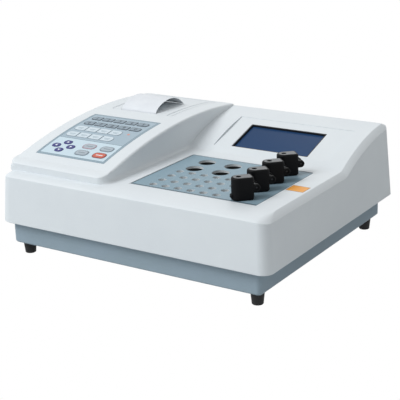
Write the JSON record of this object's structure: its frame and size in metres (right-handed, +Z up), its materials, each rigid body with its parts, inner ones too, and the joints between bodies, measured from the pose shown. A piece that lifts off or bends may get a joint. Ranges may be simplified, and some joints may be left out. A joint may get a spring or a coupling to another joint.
{
  "type": "coagulation analyzer",
  "caption": "Bench blood-clotting analyser: sloped display, tower with keypad and strip printer, open sample wells and tip-back measuring heads over optical wells.",
  "frame": {"origin": "On the bench, in the middle of the instrument's outline, level with the feet's undersides.", "axes": "+X to the operator's right, +Y from the operator towards the back, +Z up."},
  "size_m": [0.4, 0.338, 0.1669],
  "materials": {
    "casing": "moulded ABS, fine satin texture, cool white",
    "base": "powder-coated sheet steel, grey-blue",
    "foot_rubber": "moulded black rubber",
    "deck_panel": "coated aluminium plate, pale blue-grey",
    "rear_panel": "powder-coated sheet steel",
    "head": "moulded black plastic, half-gloss",
    "hinge_steel": "machined stainless steel",
    "pin_steel": "ground steel pin",
    "keypad_overlay": "printed polyester film, fine matt texture",
    "number_key": "domed film key, grey-blue",
    "soft_key": "domed film key, pale blue",
    "arrow_key": "domed film key, navy",
    "red_key": "domed film key, red-orange",
    "command_key": "domed film key, pale grey",
    "display_frame": "black moulded plastic",
    "display_glass": "display glass, dark blue, unlit and blank",
    "block_aluminium": "machined aluminium",
    "optics_housing": "black moulded plastic",
    "circuit_board": "green solder mask",
    "power_board": "green solder mask",
    "printer_frame": "black moulded plastic",
    "platen_rubber": "ground black rubber",
    "paper": "thermal paper, smooth",
    "inlet_plastic": "black moulded plastic",
    "rocker": "black moulded plastic"
  },
  "bodies": {
    "case": {"upper_case": "casing", "base_pan": "base", "foot_front_left": "foot_rubber", "foot_front_right": "foot_rubber", "foot_rear_left": "foot_rubber", "foot_rear_right": "foot_rubber", "deck_plate": "deck_panel", "incubation_block": "block_aluminium", "measuring_module": "optics_housing", "hinge_post_1": "hinge_steel", "hinge_pin_1": "pin_steel", "hinge_post_2": "hinge_steel", "hinge_pin_2": "pin_steel", "hinge_post_3": "hinge_steel", "hinge_pin_3": "pin_steel", "hinge_post_4": "hinge_steel", "hinge_pin_4": "pin_steel", "display_module": "display_frame", "display_window": "display_glass", "keypad_overlay": "keypad_overlay", "printer_mechanism": "printer_frame", "rear_panel": "rear_panel", "main_board": "circuit_board", "power_inlet": "inlet_plastic", "power_supply": "power_board"},
    "head_1": {"measuring_head_1": "head"},
    "head_2": {"measuring_head_2": "head"},
    "head_3": {"measuring_head_3": "head"},
    "head_4": {"measuring_head_4": "head"},
    "cover": {"printer_cover": "casing", "paper_strip": "paper"},
    "roll": {"paper_roll": "paper"},
    "platen": {"platen_roller": "platen_rubber"},
    "rocker": {"power_switch": "rocker"},
    "number_button_1": {"number_key_1": "number_key"},
    "number_button_2": {"number_key_2": "number_key"},
    "number_button_3": {"number_key_3": "number_key"},
    "number_button_4": {"number_key_4": "number_key"},
    "number_button_5": {"number_key_5": "number_key"},
    "number_button_6": {"number_key_6": "number_key"},
    "number_button_7": {"number_key_7": "number_key"},
    "number_button_8": {"number_key_8": "number_key"},
    "number_button_9": {"number_key_9": "number_key"},
    "number_button_0": {"number_key_0": "number_key"},
    "soft_button_1": {"soft_key_1": "soft_key"},
    "soft_button_2": {"soft_key_2": "soft_key"},
    "soft_button_3": {"soft_key_3": "soft_key"},
    "soft_button_4": {"soft_key_4": "soft_key"},
    "soft_button_5": {"soft_key_5": "soft_key"},
    "soft_button_6": {"soft_key_6": "soft_key"},
    "soft_button_7": {"soft_key_7": "soft_key"},
    "soft_button_8": {"soft_key_8": "soft_key"},
    "arrow_button_left": {"arrow_key_left": "arrow_key"},
    "arrow_button_up": {"arrow_key_up": "arrow_key"},
    "arrow_button_down": {"arrow_key_down": "arrow_key"},
    "arrow_button_right": {"arrow_key_right": "arrow_key"},
    "command_button_back_left": {"command_key_back_left": "command_key"},
    "command_button_back_right": {"command_key_back_right": "command_key"},
    "command_button_front_left": {"command_key_front_left": "command_key"},
    "command_button_red": {"command_key_red": "red_key"}
  },
  "joints": [
    {"name": "head_1_lift", "type": "hinge", "parent": "case", "child": "head_1", "pos_m": [0.14466, -0.09994, 0.126], "axis": [-0.7071, 0.7071, 0], "range_deg": [0, 100]},
    {"name": "head_2_lift", "type": "hinge", "parent": "case", "child": "head_2", "pos_m": [0.14466, -0.06384, 0.126], "axis": [-0.7071, 0.7071, 0], "range_deg": [0, 100]},
    {"name": "head_3_lift", "type": "hinge", "parent": "case", "child": "head_3", "pos_m": [0.14466, -0.02774, 0.126], "axis": [-0.7071, 0.7071, 0], "range_deg": [0, 100]},
    {"name": "head_4_lift", "type": "hinge", "parent": "case", "child": "head_4", "pos_m": [0.14466, 0.00836, 0.126], "axis": [-0.7071, 0.7071, 0], "range_deg": [0, 100]},
    {"name": "cover_lift", "type": "hinge", "parent": "case", "child": "cover", "pos_m": [-0.1175, 0.1495, 0.144], "axis": [-1, 0, 0], "range_deg": [0, 85]},
    {"name": "roll_turn", "type": "hinge", "parent": "case", "child": "roll", "pos_m": [-0.1229, 0.104, 0.118], "axis": [1, 0, 0], "continuous": true},
    {"name": "platen_turn", "type": "hinge", "parent": "case", "child": "platen", "pos_m": [-0.1229, 0.054, 0.138], "axis": [1, 0, 0], "continuous": true},
    {"name": "power_rock", "type": "hinge", "parent": "case", "child": "rocker", "pos_m": [0.1555, 0.158, 0.081], "axis": [-1, 0, 0], "range_deg": [0, 14]},
    {"name": "number_key_1_press", "type": "slide", "parent": "case", "child": "number_button_1", "axis": [0, 0.0901, -0.9959], "range_m": [0, 0.0004], "stiffness_N_per_m": 1000},
    {"name": "number_key_2_press", "type": "slide", "parent": "case", "child": "number_button_2", "axis": [0, 0.0901, -0.9959], "range_m": [0, 0.0004], "stiffness_N_per_m": 1000},
    {"name": "number_key_3_press", "type": "slide", "parent": "case", "child": "number_button_3", "axis": [0, 0.0901, -0.9959], "range_m": [0, 0.0004], "stiffness_N_per_m": 1000},
    {"name": "number_key_4_press", "type": "slide", "parent": "case", "child": "number_button_4", "axis": [0, 0.0901, -0.9959], "range_m": [0, 0.0004], "stiffness_N_per_m": 1000},
    {"name": "number_key_5_press", "type": "slide", "parent": "case", "child": "number_button_5", "axis": [0, 0.0901, -0.9959], "range_m": [0, 0.0004], "stiffness_N_per_m": 1000},
    {"name": "number_key_6_press", "type": "slide", "parent": "case", "child": "number_button_6", "axis": [0, 0.1183, -0.993], "range_m": [0, 0.0004], "stiffness_N_per_m": 1000},
    {"name": "number_key_7_press", "type": "slide", "parent": "case", "child": "number_button_7", "axis": [0, 0.1183, -0.993], "range_m": [0, 0.0004], "stiffness_N_per_m": 1000},
    {"name": "number_key_8_press", "type": "slide", "parent": "case", "child": "number_button_8", "axis": [0, 0.1183, -0.993], "range_m": [0, 0.0004], "stiffness_N_per_m": 1000},
    {"name": "number_key_9_press", "type": "slide", "parent": "case", "child": "number_button_9", "axis": [0, 0.1183, -0.993], "range_m": [0, 0.0004], "stiffness_N_per_m": 1000},
    {"name": "number_key_0_press", "type": "slide", "parent": "case", "child": "number_button_0", "axis": [0, 0.1183, -0.993], "range_m": [0, 0.0004], "stiffness_N_per_m": 1000},
    {"name": "soft_key_1_press", "type": "slide", "parent": "case", "child": "soft_button_1", "axis": [0, 0.1466, -0.9892], "range_m": [0, 0.0004], "stiffness_N_per_m": 1000},
    {"name": "soft_key_2_press", "type": "slide", "parent": "case", "child": "soft_button_2", "axis": [0, 0.1466, -0.9892], "range_m": [0, 0.0004], "stiffness_N_per_m": 1000},
    {"name": "soft_key_3_press", "type": "slide", "parent": "case", "child": "soft_button_3", "axis": [0, 0.1466, -0.9892], "range_m": [0, 0.0004], "stiffness_N_per_m": 1000},
    {"name": "soft_key_4_press", "type": "slide", "parent": "case", "child": "soft_button_4", "axis": [0, 0.1466, -0.9892], "range_m": [0, 0.0004], "stiffness_N_per_m": 1000},
    {"name": "soft_key_5_press", "type": "slide", "parent": "case", "child": "soft_button_5", "axis": [0, 0.1748, -0.9846], "range_m": [0, 0.0004], "stiffness_N_per_m": 1000},
    {"name": "soft_key_6_press", "type": "slide", "parent": "case", "child": "soft_button_6", "axis": [0, 0.1748, -0.9846], "range_m": [0, 0.0004], "stiffness_N_per_m": 1000},
    {"name": "soft_key_7_press", "type": "slide", "parent": "case", "child": "soft_button_7", "axis": [0, 0.1748, -0.9846], "range_m": [0, 0.0004], "stiffness_N_per_m": 1000},
    {"name": "soft_key_8_press", "type": "slide", "parent": "case", "child": "soft_button_8", "axis": [0, 0.1748, -0.9846], "range_m": [0, 0.0004], "stiffness_N_per_m": 1000},
    {"name": "arrow_key_left_press", "type": "slide", "parent": "case", "child": "arrow_button_left", "axis": [0, 0.2066, -0.9784], "range_m": [0, 0.0004], "stiffness_N_per_m": 1000},
    {"name": "arrow_key_up_press", "type": "slide", "parent": "case", "child": "arrow_button_up", "axis": [0, 0.203, -0.9792], "range_m": [0, 0.0004], "stiffness_N_per_m": 1000},
    {"name": "arrow_key_down_press", "type": "slide", "parent": "case", "child": "arrow_button_down", "axis": [0, 0.2312, -0.9729], "range_m": [0, 0.0004], "stiffness_N_per_m": 1000},
    {"name": "arrow_key_right_press", "type": "slide", "parent": "case", "child": "arrow_button_right", "axis": [0, 0.2066, -0.9784], "range_m": [0, 0.0004], "stiffness_N_per_m": 1000},
    {"name": "command_key_back_left_press", "type": "slide", "parent": "case", "child": "command_button_back_left", "axis": [0, 0.203, -0.9792], "range_m": [0, 0.0004], "stiffness_N_per_m": 1000},
    {"name": "command_key_back_right_press", "type": "slide", "parent": "case", "child": "command_button_back_right", "axis": [0, 0.203, -0.9792], "range_m": [0, 0.0004], "stiffness_N_per_m": 1000},
    {"name": "command_key_front_left_press", "type": "slide", "parent": "case", "child": "command_button_front_left", "axis": [0, 0.2307, -0.973], "range_m": [0, 0.0004], "stiffness_N_per_m": 1000},
    {"name": "command_key_red_press", "type": "slide", "parent": "case", "child": "command_button_red", "axis": [0, 0.2307, -0.973], "range_m": [0, 0.0004], "stiffness_N_per_m": 1000}
  ],
  "couplings": [
    {"joint": "platen_turn", "follows": "roll_turn", "ratio": -3.6667}
  ]
}
